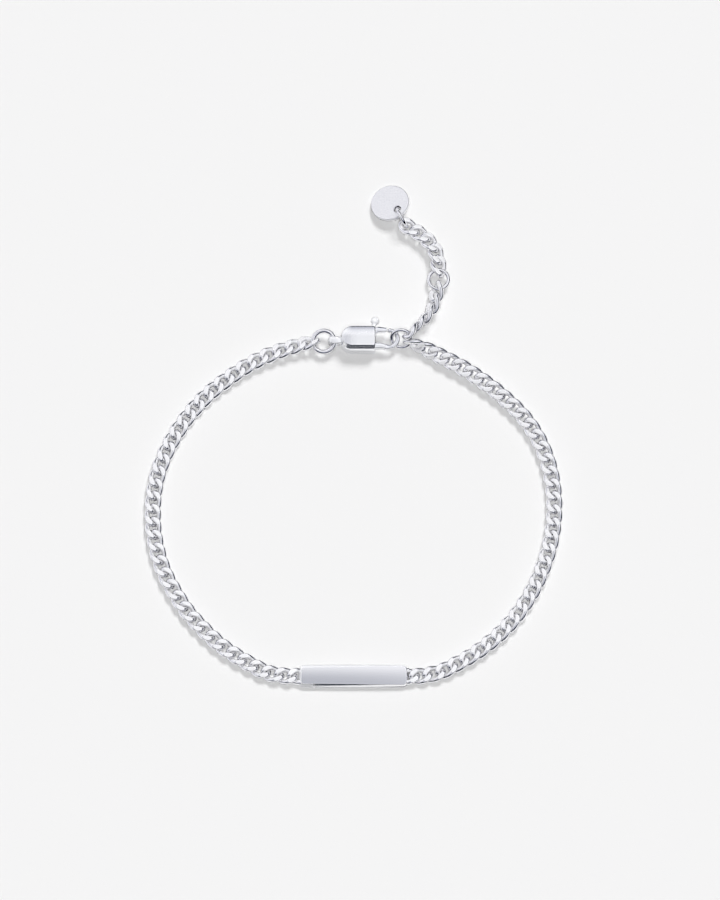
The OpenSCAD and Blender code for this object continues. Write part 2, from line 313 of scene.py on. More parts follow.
# light and dull are the metal's two tones; rough and spread are its roughness and how much that wavers
finishes = {
    "chain_silver": {"light": (0.94, 0.94, 0.95), "dull": (0.84, 0.84, 0.875), "rough": 0.05, "spread": 0.06,
                     "mask": "filed", "maskRough": 0.38, "maskSatin": 0.75},
    # the rings' silver is a darker copy of the same silver: painted shade, so their wire and its dark edge lines read
    # darker
    "ring_silver_painted_shade": {"light": (0.91, 0.91, 0.925), "dull": (0.76, 0.76, 0.80), "rough": 0.03, "spread": 0.04,
                    "mask": "satin", "maskRough": 0.12, "maskSatin": 0.7},
    "bar_silver": {"light": (0.97, 0.97, 0.98), "dull": (0.92, 0.925, 0.945), "rough": 0.10, "spread": 0.08,
                   "cloud": 160, "stretch": (0.35, 1, 1), "mask": "filed", "maskRough": 0.3, "maskSatin": 0.7},
    "clasp_silver": {"light": (0.96, 0.96, 0.975), "dull": (0.87, 0.88, 0.91), "rough": 0.10, "spread": 0.10,
                     "cloud": 500, "bump": 0.03, "stretch": (1, 0.3, 1), "mask": "satin", "maskRough": 0.12,
                     "maskSatin": 0.6},
    "lever_silver": {"light": (0.96, 0.96, 0.975), "dull": (0.87, 0.88, 0.91), "rough": 0.10, "spread": 0.08,
                     "mask": "satin", "maskRough": 0.3, "maskSatin": 0.85},
    "pin_silver": {"light": (0.82, 0.82, 0.85), "dull": (0.62, 0.62, 0.66), "rough": 0.18, "spread": 0.10},
    "tag_silver": {"light": (0.95, 0.95, 0.965), "dull": (0.76, 0.76, 0.80), "rough": 0.26, "spread": 0.20,
                   "cloud": 5000, "bump": 0.5, "metal": 0.8},
}
silvers = {name: silver(name, **finish) for name, finish in finishes.items()}
print("materials made")


# Curb chain

chainSizes = {
    "width": 2.43,
    "wire": 0.70,
    "linkHalf": 1.35,
    "twist": 50,
    "square": 2.3,
    "filedHalf": 0.575,
    "filedCrown": 12.0,
    "filedSharpness": 12,
    # how dull the bare wire is, and its side toward the link's own hole; then how deep the file goes before its mark
    # shows and is full, and how far round toward the hole the dullness starts and is full
    "wireDull": 0.12,
    "innerDull": 0.95,
    "filedShows": (0.045, 0.075),
    "innerShows": (-0.2, 0.3),
    "fineSteps": 2400,
    "sections": 64,
    "sides": 20,
    "halfLinkSides": 28,
    "routeSteps": 24,
    "routeReach": 0.58,
    "turnJitter": 1.2,
}

# Columns: x, y, height of the centre line, roll about the chain's own direction in degrees
routes = {
    "chain_left": {"links": 37, "rows": [
        [-9.47, -23.37, 0.58, 0], [-11.28, -23.10, 0.58, 0], [-13.23, -22.35, 0.58, 0],
        [-17.70, -19.60, 0.58, 0], [-21.20, -16.40, 0.58, 0], [-24.05, -12.80, 0.58, 0],
        [-26.75, -7.45, 0.58, 0], [-27.90, -1.30, 0.58, 0], [-27.35, 5.10, 0.58, 0],
        [-24.85, 11.20, 0.59, 0], [-20.85, 16.45, 0.61, 0], [-15.85, 20.42, 0.77, -8],
        [-12.04, 22.50, 0.89, -12], [-7.85, 23.94, 1.03, -22], [-6.28, 24.32, 1.14, -35.7]]},
    "chain_right": {"links": 36, "rows": [
        [9.23, -23.37, 0.59, 0], [11.07, -23.08, 0.61, 0], [12.99, -22.35, 0.66, -4],
        [17.40, -19.75, 0.74, -12], [21.60, -15.90, 0.74, -12], [25.00, -10.70, 0.74, -12],
        [27.20, -4.60, 0.74, -12], [27.80, 1.60, 0.74, -12], [26.80, 7.60, 0.74, -12],
        [24.30, 12.70, 0.80, -13], [20.40, 16.85, 0.95, -14], [15.90, 20.19, 1.12, -18],
        [11.98, 22.38, 1.19, -26], [10.15, 23.30, 1.22, -44], [8.39, 24.03, 1.22, -74.1]]},
    "extender_lower": {"links": 5, "rows": [
        [8.04, 25.78, 1.88, -82.2], [9.18, 27.08, 1.36, -77.2], [10.44, 28.57, 1.31, -67],
        [11.16, 30.06, 1.23, -55.4], [11.51, 31.70, 1.15, -43.9]]},
    "extender_upper": {"links": 5, "rows": [
        [11.76, 35.36, 1.08, 24.4], [11.37, 37.27, 0.97, 26], [10.60, 38.66, 0.97, 23.7],
        [9.43, 39.83, 0.98, 20.3], [7.67, 40.97, 0.96, 13.4]]},
}


def softClamp(value, limit, power):
    # value, bent smoothly to stay within the limit: value / (1 + |value / limit|^power)^(1 / power)
    return value / (1 + np.abs(value / limit) ** power) ** (1 / power)


def linkLine(t, c):
    # a superellipse in a surface that turns about the link's own length as it goes along it
    side = (c["width"] - c["wire"]) / 2
    x, y = c["linkHalf"] * signedPower(np.cos(t), c["square"]), side * signedPower(np.sin(t), c["square"])
    lean = -math.radians(c["twist"]) * x / c["linkHalf"]
    return np.stack([x, y * np.cos(lean), y * np.sin(lean)], -1), lean


def linkGrid(c, start=0.0, end=tau, closed=True):
    # round wire carried along the link's line at even steps, then filed above and below to a very slight crown;
    # the mask is 1 where the file took the wire off, high toward the link's own hole and low elsewhere
    fine = np.linspace(start, end, c["fineSteps"])
    line, _ = linkLine(fine, c)
    run = np.concatenate([[0], np.cumsum(np.linalg.norm(np.diff(line, axis=0), axis=1))])
    even = np.linspace(0, run[-1], c["sections"] + 1)
    t = np.interp(even[:-1] if closed else even, run, fine)
    centre, lean = linkLine(t, c)
    step = 0.01
    along = unitRows(linkLine(t + step, c)[0] - linkLine(t - step, c)[0])
    flatUp = np.stack([0 * lean, -np.sin(lean), np.cos(lean)], -1)
    up = unitRows(flatUp - along * (flatUp * along).sum(-1, keepdims=True))
    out = np.cross(along, up)
    a = (np.arange(c["sides"]) + 0.5) * tau / c["sides"]
    ring = np.cos(a)[None, :, None] * out[:, None] + np.sin(a)[None, :, None] * up[:, None]
    points = centre[:, None] + c["wire"] / 2 * ring
    plain = points[..., 2].copy()
    limit = c["filedHalf"] - points[..., 1] ** 2 / (2 * c["filedCrown"])
    points[..., 2] = softClamp(plain, limit, c["filedSharpness"])
    filed = ramp(np.abs(plain - points[..., 2]), *c["filedShows"])
    inward = -(ring * unitRows(centre)[:, None]).sum(-1)
    return points, np.maximum(c["wireDull"] * (1 - filed) + filed, c["innerDull"] * ramp(inward, *c["innerShows"]))


def smoothRoute(rows, steps):
    # a Catmull-Rom curve through the rows, with its end rows carried on in a straight line
    rows = np.array(rows, float)
    ext = np.vstack([2 * rows[0] - rows[1], rows, 2 * rows[-1] - rows[-2]])
    p, q, r, s = (ext[i:len(ext) - 3 + i, None] for i in range(4))
    u = (np.arange(steps) / steps)[None, :, None]
    curve = 0.5 * (2 * q + (r - p) * u + (2 * p - 5 * q + 4 * r - s) * u ** 2 + (3 * q - p - 3 * r + s) * u ** 3)
    return np.vstack([curve.reshape(-1, 4), rows[-1]])


def chainPlaces(route, c, seed):
    # even steps along the route; each link turns to the route's direction and roll, with a small seeded jitter
    curve = smoothRoute(route["rows"], c["routeSteps"])
    run = np.concatenate([[0], np.cumsum(np.linalg.norm(np.diff(curve[:, :3], axis=0), axis=1))])
    at = lambda q: np.stack([np.interp(q, run, curve[:, k]) for k in range(4)], -1)
    q = np.linspace(0, run[-1], route["links"])
    here = at(q)
    step = at(np.minimum(q + c["routeReach"], run[-1])) - at(np.maximum(q - c["routeReach"], 0))
    yaw = np.degrees(np.arctan2(step[:, 1], step[:, 0]))
    pitch = -np.degrees(np.arctan2(step[:, 2], np.hypot(step[:, 0], step[:, 1])))
    jitter = np.random.default_rng(seed).uniform(-1, 1, route["links"]) * c["turnJitter"]
    jitter[[0, -1]] = 0
    return here[:, :3], turnMatrices(here[:, 3] + jitter, pitch, yaw)


def chainSurface(route, c, seed):
    # the one link's grid, turned and moved to every place at once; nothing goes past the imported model's box
    link, filed = linkGrid(c)
    at, turn = chainPlaces(route, c, seed)
    points = np.einsum("nij,uvj->nuvi", turn, link) + at[:, None, None]
    points = np.clip(points, *(np.array(corner) / mm for corner in cadBox))
    count, rings, sides = points.shape[:3]
    quads = quadRows(sides, rings)
    quads = (quads[None] + (np.arange(count) * rings * sides)[:, None, None]).reshape(-1, 4)
    return (points.reshape(-1, 3), quads, np.zeros((0, 3), int)), np.tile(filed.ravel(), count)


for seed, (name, route) in enumerate(routes.items()):
    surface, filed = chainSurface(route, chainSizes, seed)
    makePiece(name + "_links", surface, silvers["chain_silver"], "bracelet", [name], masks={"filed": filed})
print("chains made")


# Identity bar with its soldered half links

barSizes = {
    "at": (-0.1, -23.42, 0.0),
    "long": 15.2,
    "wide": 3.05,
    "thick": 1.15,
    "corner": 0.75,
    "crownRadius": 13.0,
    "lengthRadius": 180.0,
    "eyeIn": 0.05,
    "solder": 0.4,
    "bevelTaper": 0.25,
    "crownRings": 30,
    "sharp": 15,
    # how dull the south bevel, its left corner and the north edge are, and where the corner's share starts and is full
    "bevelDull": 0.14,
    "cornerDull": 0.6,
    "northDull": 0.6,
    "cornerShows": (-5.0, -5.9),
    # how far in from the outline, and how high: first the underside and wall, then drops below the crown
    "under": [(1.50, 0), (0.80, 0), (0.14, 0), (0.06, 0.01), (0.02, 0.04), (0.0, 0.10), (0.0, 0.30), (0.0, 0.55),
              (0.004, 0.62)],
    "edge": [(0.0, 0.46), (0.03, 0.39), (0.08, 0.272), (0.095, 0.248), (0.155, 0.18), (0.23, 0.096), (0.29, 0.034),
             (0.31, 0.014), (0.33, 0.004), (0.35, 0)],
    "northEdge": [(0.002, 0.40), (0.005, 0.28), (0.01, 0.16), (0.02, 0.08), (0.035, 0.04), (0.06, 0.024), (0.18, 0.012),
                  (0.28, 0.004), (0.32, 0.0015), (0.35, 0)],
}


def roundedOutline(halfLong, halfWide, corner, perCorner=14, perSide=24):
    # a rectangle with round corners, anticlockwise from the middle of its right side
    cx, cy = halfLong - corner, halfWide - corner
    quarter = np.linspace(0, tau / 4, perCorner)
    points = []
    for k, (sx, sy) in enumerate(((1, 1), (-1, 1), (-1, -1), (1, -1))):
        a = quarter + k * tau / 4
        arc = np.stack([sx * cx + corner * np.cos(a), sy * cy + corner * np.sin(a)], -1)
        nextX, nextY = ((-cx, halfWide), (-halfLong, -cy), (cx, -halfWide), (halfLong, cy))[k]
        side = arc[-1] + (np.array([nextX, nextY]) - arc[-1]) * np.linspace(0, 1, perSide, endpoint=False)[1:, None]
        points += [arc, side]
    return np.vstack(points)


def barSurface(b):
    # outlines of one rounded rectangle, each drawn in by its inset: the underside, the wall, a steep facet, the top
    # bevel, and a crown that is an arc over the width and a far flatter one over the length
    def crownAt(outline):
        across = np.sqrt(b["crownRadius"] ** 2 - outline[:, 1] ** 2) - b["crownRadius"]
        return b["thick"] + across - outline[:, 0] ** 2 / (2 * b["lengthRadius"])
    def ringAt(inset, share):
        full = roundedOutline(b["long"] / 2, b["wide"] / 2, b["corner"])
        drawn = roundedOutline(b["long"] / 2 - inset, b["wide"] / 2 - inset, max(b["corner"] - inset, 0.02))
        wider = 1 - b["bevelTaper"] * full[:, :1] / (b["long"] / 2) * share
        return full + (drawn - full) * wider
    rings = []
    for inset, z in b["under"]:
        flat = ringAt(inset, 0)
        rings.append(np.column_stack([flat, np.full(len(flat), z)]))
    outline = ringAt(0, 0)
    north = np.clip((outline[:, 1] - b["wide"] / 2 + b["corner"]) / b["corner"], 0, 1)[:, None]
    for (inset, drop), (northInset, northDrop) in zip(b["edge"], b["northEdge"]):
        flat = ringAt(inset, 1) * (1 - north) + ringAt(northInset, 1) * north
        rings.append(np.column_stack([flat, crownAt(flat) - drop - (northDrop - drop) * north[:, 0]]))
    for k in np.linspace(0.01, 0.99, b["crownRings"]):
        inner = flat * (1 - k)
        rings.append(np.column_stack([inner, crownAt(inner)]))
    # the mask dulls the south bevel's rings a little, more at the left corner, and the north edge's
    points = np.array(rings)
    dull = b["bevelDull"] + b["cornerDull"] * ramp(points[..., 0], *b["cornerShows"])
    first = len(b["under"])
    last = first + len(b["edge"]) - 2
    ring = np.arange(len(rings))[:, None]
    mask = (dull * (1 - north[:, 0]) + b["northDull"] * north[:, 0]) * ((ring >= first) & (ring < last))
    surface = gridSurface(points, closed=False, flip=True)
    return surface, np.concatenate([mask.ravel(), [0, 0]])


def halfLinkSurface(c, inset):
    # half of a link's grid, with both ends carried straight into the bar
    grid, filed = linkGrid({**c, "sides": c["halfLinkSides"]}, -tau / 4, tau / 4, closed=False)
    shift = np.array([inset, 0, 0])
    surface = gridSurface(np.concatenate([grid[:1] - shift, grid, grid[-1:] - shift]), closed=False)
    mask = np.concatenate([filed[:1], filed, filed[-1:]]).ravel()
    return surface, np.concatenate([mask, [0, 0]])


def barPiece(b, c):
    # the bar, and a half link standing out of each of its ends, the left one turned half round
    bar, dull = barSurface(b)
    parts = [placedSurface(bar, b["at"])]
    masks = [dull]
    half, filed = halfLinkSurface(c, b["solder"])
    reach = b["long"] / 2 - b["eyeIn"]
    for side, turn in ((1, 0), (-1, 180)):
        at = (b["at"][0] + side * reach, b["at"][1], c["filedHalf"])
        parts.append(placedSurface(half, at, (0, 0, turn)))
        masks.append(filed)
    return joinSurfaces(parts), np.concatenate(masks)


surface, filed = barPiece(barSizes, chainSizes)
makePiece("identity_bar", surface, silvers["bar_silver"], "bracelet", ["id_bar"], sharp=barSizes["sharp"],
          masks={"filed": filed})
print("bar made")


# Rings: a torus each, a little dull along its top

# the direction of the dull top, and how near to it the dullness starts and is full
ringTop = (0, 0.13, 0.99)
ringTopShows = (0.93, 0.98)
ringSizes = {
    "extender_ring": {"radius": 1.38, "wire": 0.5, "at": (11.75, 33.45, 1.11), "turn": (-1, -5, 0)},
    "end_ring": {"radius": 1.38, "wire": 0.5, "at": (6.57, 24.80, 1.58), "turn": (45.3, -4.3, 0)},
    "clasp_ring": {"radius": 1.5, "wire": 0.66, "at": (-4.24, 24.46, 1.345), "turn": (6, -6, 0)},
    "tag_ring": {"radius": 1.38, "wire": 0.49, "at": (6.68, 42.21, 1.69), "turn": (100.6, 0, -63)},
}


def ringSurface(radius, wire, around=128, sides=32):
    # a torus: round wire carried round a circle; also each point's outward direction
    u = np.linspace(0, tau, around, endpoint=False)[:, None]
    v = np.linspace(0, tau, sides, endpoint=False)[None]
    away = np.stack([np.cos(v) * np.cos(u), np.cos(v) * np.sin(u), np.sin(v) + 0 * u], -1)
    middle = np.stack([radius * np.cos(u), radius * np.sin(u), 0 * u], -1)
    return gridSurface(middle + wire / 2 * away), away.reshape(-1, 3)


for name, r in ringSizes.items():
    surface, away = ringSurface(r["radius"], r["wire"])
    upward = placed(away, (0, 0, 0), r["turn"]) @ np.array(ringTop)
    makePiece(name + "_wire", placedSurface(surface, r["at"], r["turn"]), silvers["ring_silver_painted_shade"], "bracelet", [name],
              masks={"satin": ramp(upward, *ringTopShows)})
print("rings made")


# Lobster clasp

claspSizes = {
    "midY": 24.62,
    "roundX": -0.25,
    "endX": 2.95,
    "wide": 3.45,
    "thick": 3.0,
    "tilt": 2.0,
    "northFrom": 0.2,
    "northCurve": 0.1,
    "westDrop": 0.32,
    "westCurve": 2.2,
    "wallUnder": 0.56,
    "crownRings": 30,
    "endSteps": 40,
    "shellSharp": 24,
    # how far in and how high: the underside and the bulging wall; then the edge as drops below the top, "edge" along
    # the south and "fineEdge" along the north and the right end
    "under": [(1.65, 0), (0.9, 0), (0.42, 0), (0.36, 0.01), (0.30, 0.05), (0.06, 0.29), (0.01, 0.36), (0, 0.45),
              (0, 0.8), (0, 1.1), (0, 1.4), (0.005, 1.7), (0.03, 1.95), (0.075, 2.16)],
    "edge": [(0.14, 0.58), (0.155, 0.53), (0.17, 0.50), (0.28, 0.385), (0.43, 0.225), (0.575, 0.07), (0.60, 0.038),
             (0.63, 0.012), (0.66, 0)],
    "fineEdge": [(0.06, 0.54), (0.05, 0.44), (0.03, 0.34), (0.015, 0.24), (0.005, 0.15), (0, 0.07), (0.08, 0.014),
                 (0.10, 0.004), (0.12, 0)],
    "northWall": 0.6,
    "endRound": 0.3,
    # how frosted the top and bevel are, and the shares taken off north and south; then where each starts and is full
    "topSatin": 0.68,
    "topNorthLess": 0.8,
    "bevelSatin": 0.55,
    "bevelSouthLess": 0.35,
    "topShows": (-0.02, 0),
    "bevelShows": (-0.6, -0.55),
    "eastShows": (-1.7, 0.5),
    "eastLeast": 0.15,
    "northShows": (0.3, 1.1),
    "southShows": (-0.3, -0.8),
    "eyeX": -2.75,
    "eyeY": 24.46,
    "eyeRadius": 0.88,
    "eyeHole": 0.54,
    "eyeReach": 1.3,
    "eyeWide": 1.0,
    "eyeSquare": 3,
    "eyeSection": 2.4,
    # the neck's ends, then where its half width and half height start and how much they grow
    "neckFrom": 0.85,
    "neckTo": 0.9,
    "neckWide": (0.96, 0.9),
    "neckCurve": 1.6,
    "neckTall": (0.74, 0.40),
    "neckSquare": 3.0,
    "hookX": 4.85,
    "hookY": 24.78,
    "hookRadius": 1.2,
    "hookWire": 0.6,
    "hookTipTurn": 86,
    "hookSquare": 2.6,
    "hookSharp": 50,
    # the hook's arm: how far it starts inside the shell and leans in over its length, its half width on the way, and
    # where its frosting fades out
    "armInside": 0.5,
    "armIn": 0.2,
    "armInLong": 1.2,
    "armInCurve": 1.5,
    "armBase": 0.50,
    "armTaper": [(3.6, 0.46), (4.4, 0.40)],
    "armSatin": 0.5,
    "armShows": (4.6, 4.2),
    "hookSatin": 0.2,
    "eyeSatin": 0.8,
    "neckSatin": 0.8,
    "pivot": (2.3, 25.5),
    "hubRadius": 0.55,
    "hubGap": 0.12,
    "leverThick": 0.8,
    "slotLeft": 0.3,
    "slotReach": 2,
    "slotSharp": 18,
}


def shellOutline(c, south, north, count=150):
    # half a circle on the left and a straight part to the right, its right corners a little round; drawn in by one
    # inset along the south and another along the north and the right end; the last column is 1 on the south, else 0
    r = c["wide"] / 2
    q = c["endRound"]
    x0, x1 = c["roundX"], c["endX"] - north
    turn = np.linspace(tau / 4, 3 * tau / 4, count)
    down = 0.5 - 0.5 * np.sin(turn)
    reach = r - north - (south - north) * down
    left = np.stack([x0 + reach * np.cos(turn), reach * np.sin(turn), down], -1)
    straight = np.linspace(x0, x1 - q, c["endSteps"])[1:]
    low = np.stack([straight, 0 * straight + south - r, 0 * straight + 1], -1)
    quarter = np.linspace(0, tau / 4, 8)[1:]
    cornerLow = np.stack([x1 - q + q * np.sin(quarter), south - r + q - q * np.cos(quarter), 1 - quarter * 4 / tau], -1)
    up = np.linspace(south - r + q, r - north - q, 24)[1:-1]
    end = np.stack([0 * up + x1, up, 0 * up], -1)
    quarter = quarter - quarter[0]
    cornerHigh = np.stack([x1 - q + q * np.cos(quarter), r - north - q + q * np.sin(quarter), 0 * quarter], -1)
    high = np.stack([straight[::-1], 0 * straight + r - north, 0 * straight], -1)
    return np.vstack([left, low, cornerLow, end, cornerHigh, high])


def shellTop(c, flat):
    # the top face falls a little to the north all over, curves down to its north edge as a square does, and rolls off
    # to the west
    r = c["wide"] / 2
    north = np.maximum(flat[:, 1] - c["northFrom"], 0) ** 2
    west = np.clip((c["roundX"] - flat[:, 0]) / r, 0, 1)
    fall = (flat[:, 1] + r) * math.tan(math.radians(c["tilt"]))
    return c["thick"] - fall - c["northCurve"] * north - c["westDrop"] * west ** c["westCurve"]


def shellSurface(c):
    # rings of one outline: the underside and wall at fixed heights, then the edge and top as drops below the top
    rings = []
    for inset, z in c["under"]:
        flat = shellOutline(c, inset, inset * c["northWall"])
        rings.append(np.column_stack([flat[:, :2], np.minimum(z, shellTop(c, flat) - c["wallUnder"])]))
    for (south, drop), (north, fineDrop) in zip(c["edge"], c["fineEdge"]):
        flat = shellOutline(c, south, north)
        fineDrop = fineDrop * (1 - 0.5 * np.clip(flat[:, 1] / c["wide"] * 2, 0, 1) ** 4)
        rings.append(np.column_stack([flat[:, :2], shellTop(c, flat) - fineDrop - (drop - fineDrop) * flat[:, 2]]))
    rim = rings[-1][:, :2]
    middle = np.array([(c["roundX"] + c["endX"]) / 2, 0])
    for k in np.linspace(0.02, 0.99, c["crownRings"]):
        flat = rim + (middle - rim) * k
        rings.append(np.column_stack([flat, shellTop(c, flat)]))
    points = np.array(rings)
    points[..., 1] += c["midY"]
    return gridSurface(points, closed=False, flip=True)


def sweep(path, wide, tall, square=2.0, sides=28, side=(0, 0, 1), section=None):
    # a superellipse, or the section given, carried along a path: wide across it, tall along the side direction
    path = np.asarray(path, float)
    along = unitRows(np.gradient(path, axis=0))
    side = np.asarray(side, float)
    up = unitRows(side - along * (along @ side)[:, None])
    out = np.cross(along, up)
    v = np.linspace(0, tau, sides, endpoint=False)
    oval = (signedPower(np.cos(v), square), signedPower(np.sin(v), square))
    cv, sv = oval if section is None else np.array(section, float).T
    wide = np.broadcast_to(np.asarray(wide, float), (len(path),))
    tall = np.broadcast_to(np.asarray(tall, float), (len(path),))
    points = (path[:, None] + (wide[:, None] * cv)[..., None] * out[:, None]
              + (tall[:, None] * sv)[..., None] * up[:, None])
    return gridSurface(points, closed=False)


def domed(count, share):
    # goes from near 0 up to 1 as a round end does, over that share of the way
    rise = ramp(np.linspace(0, 1, count), 0, share)
    return np.sqrt(np.clip(1 - (1 - rise) ** 2, 1e-4, 1))


def hookSurface(c):
    # a tapering arm out of the shell, then the bend round to the nose, whose tip is a round end
    r, z = c["hookRadius"], c["thick"] / 2
    armY = c["hookY"] - r
    armX = np.linspace(c["endX"] - c["armInside"], c["hookX"], 26)[:-1]
    armIn = c["armIn"] * np.clip((c["hookX"] - armX) / c["armInLong"], 0, 1) ** c["armInCurve"]
    arm = np.stack([armX, armY + armIn, 0 * armX + z], -1)
    a = np.radians(np.linspace(-90, c["hookTipTurn"], 60))
    bend = np.stack([c["hookX"] + r * np.cos(a), c["hookY"] + r * np.sin(a), 0 * a + z], -1)
    half = c["hookWire"] / 2
    tipAway = np.array([-math.sin(a[-1]), math.cos(a[-1]), 0]) * half
    k = np.linspace(0, 1, 8)[1:, None]
    tip = bend[-1] + tipAway * np.sin(k * tau / 4)
    taper = np.interp(armX, *np.array([(c["endX"], c["armBase"]), *c["armTaper"], (c["hookX"], half)]).T)
    radius = np.concatenate([taper, 0 * a + half, np.maximum(half * np.cos(k[:, 0] * tau / 4), 0.01)])
    return sweep(np.vstack([arm, bend, tip]), radius, radius, c["hookSquare"])


def eyeSurface(c):
    # a rounded square frame round a round hole whose axis runs across the clasp; it is longer toward the shell
    u = np.linspace(0, tau, 96, endpoint=False)[:, None]
    v = np.linspace(0, tau, 32, endpoint=False)[None]
    square, section = c["eyeSquare"], c["eyeSection"]
    longer = np.where(np.cos(u) > 0, c["eyeReach"], c["eyeRadius"])
    share = (1 + signedPower(np.cos(v), section)) / 2
    x = c["eyeHole"] * np.cos(u) * (1 - share) + longer * signedPower(np.cos(u), square) * share
    z = c["eyeHole"] * np.sin(u) * (1 - share) + c["eyeRadius"] * signedPower(np.sin(u), square) * share
    y = c["eyeWide"] / 2 * signedPower(np.sin(v), section) + 0 * u
    return gridSurface(np.stack([c["eyeX"] + x, c["eyeY"] + y, c["thick"] / 2 + z], -1), flip=True)


def neckSurface(c):
    # flares from the eye into the round end of the shell
    k = np.linspace(0, 1, 16)
    x = np.linspace(c["eyeX"] + c["neckFrom"], c["roundX"] - c["neckTo"], len(k))
    path = np.stack([x, c["eyeY"] + (c["midY"] - c["eyeY"]) * k, 0 * k + c["thick"] / 2], -1)
    wide = c["eyeWide"] / 2 * (c["neckWide"][0] + c["neckWide"][1] * k ** c["neckCurve"])
    tall = c["neckTall"][0] + c["neckTall"][1] * k
    return sweep(path, wide, tall, c["neckSquare"])


def cutSlot(piece, c):
    # room for the lever: a box from the pivot out to the right and to the north, taken from the shell; then the mask,
    # which frosts the top toward the right and south and the bevel toward the north
    reach = c["hubRadius"] + c["hubGap"]
    half = c["leverThick"] / 2 + c["hubGap"]
    px, py = c["pivot"]
    z = c["thick"] / 2
    left, far = c["slotLeft"], c["slotReach"]
    low = np.array([px - left, py - reach, z - half])
    high = np.array([px + far, py + far, z + half])
    corners = np.array([[x, y, w] for w in (low[2], high[2]) for x, y in (
        (low[0], low[1] + left), (low[0] + left, low[1]), (high[0], low[1]), (high[0], high[1]), (low[0], high[1]))])
    cutter = makePiece("slot_cutter", gridSurface(corners.reshape(2, 5, 3), closed=False), silvers["clasp_silver"],
                       "bracelet")
    cut = piece.modifiers.new("slot", "BOOLEAN")
    cut.operation, cut.object, cut.solver = "DIFFERENCE", cutter, "EXACT"
    depsgraph = bpy.context.evaluated_depsgraph_get()
    mesh = bpy.data.meshes.new_from_object(piece.evaluated_get(depsgraph))
    piece.modifiers.clear()
    piece.data = mesh
    mesh.shade_smooth()
    mesh.set_sharp_from_angle(angle=math.radians(c["slotSharp"]))
    bpy.data.objects.remove(cutter)
    points = np.zeros(len(mesh.vertices) * 3, np.float32)
    mesh.vertices.foreach_get("co", points)
    points = points.reshape(-1, 3) / mm
    flat = points[:, :2] - np.array([0, c["midY"]])
    over = points[:, 2] - shellTop(c, flat)
    top = ramp(over, *c["topShows"])
    bevel = ramp(over, *c["bevelShows"]) * (1 - top)
    east = np.maximum(ramp(flat[:, 0], *c["eastShows"]), c["eastLeast"])
    north = ramp(flat[:, 1], *c["northShows"])
    south = ramp(flat[:, 1], *c["southShows"])
    satin = (c["topSatin"] * top * east * (1 - c["topNorthLess"] * north)
             + (c["bevelSatin"] - c["bevelSouthLess"] * south) * bevel)
    mesh.attributes.new("satin", "FLOAT", "POINT").data.foreach_set("value", satin.astype(np.float32))


shell = makePiece("clasp_shell", shellSurface(claspSizes), silvers["clasp_silver"], "bracelet", ["clasp_body"],
                  sharp=claspSizes["shellSharp"])
cutSlot(shell, claspSizes)


def hookPiece(c):
    # the hook, the eye and the neck as one; the mask is one value each, with more along the hook's arm
    parts = [hookSurface(c), eyeSurface(c), neckSurface(c)]
    masks = [np.full(len(part[0]), c[label]) for part, label in zip(parts, ("hookSatin", "eyeSatin", "neckSatin"))]
    masks[0] = masks[0] + c["armSatin"] * ramp(parts[0][0][:, 0], *c["armShows"])
    return joinSurfaces(parts), np.concatenate(masks)


surface, satin = hookPiece(claspSizes)
makePiece("clasp_hook", surface, silvers["clasp_silver"], "bracelet", ["clasp_body"], sharp=claspSizes["hookSharp"],
          masks={"satin": satin})
print("clasp body made")


# Spring lever and its hinge pin, placed from the clasp's pivot

leverSizes = {
    "armFrom": (0.05, 0.06),
    "armLong": 2.2,
    "armRise": 0.60,
    "armRiseRate": 2.2,
    "armRiseCurve": 0.8,
    "armFall": 0.12,
    "armHalf": 0.42,
    "armTaper": 0.13,
    "armDome": 0.05,
    # the arm's section, out to the south and up, in halves of its width and height
    "armSection": [(1, 0), (1, 0.86), (0.97, 0.96), (0.90, 1), (0.5, 0.99), (0, 0.96), (-0.55, 0.90), (-0.60, 0.88),
                   (-0.96, 0.62), (-1, 0.54), (-1, 0), (-1, -0.8), (-0.94, -0.96), (-0.8, -1), (0, -1), (0.8, -1),
                   (0.94, -0.96), (1, -0.8)],
    "neckFrom": (0.28, 0.1),
    "neckAlong": (0.32, 1.7),
    "neckHalf": 0.25,
    "neckShare": 0.95,
    "neckSquare": 4.0,
    "nubAt": (0.6, 1.82),
    "nubRadius": 0.575,
    # rows of how far in from an end, and how much thinner there
    "hubEdge": [(0, 0.05), (0.01, 0.02), (0.05, 0)],
    "satins": (0.0, 0.8, 1, 0),
    "sharp": 20,
}

pinSizes = {
    "wide": 0.5,
    "top": 2.5,
    "edge": [(0, 0.06), (0.02, 0.02), (0.06, 0)],
    "sharp": 40,
}


def roundBar(at, low, high, radius, edge, sides):
    # a round bar that stands from low to high, thinner by the edge's rows toward both ends
    rise, thin = np.array(edge, float).T
    heights = np.concatenate([low + rise, (high - rise)[::-1]])
    wide = radius - np.concatenate([thin, thin[::-1]])
    path = np.stack([0 * heights + at[0], 0 * heights + at[1], heights], -1)
    return sweep(path, wide, wide, sides=sides, side=(0, 1, 0))


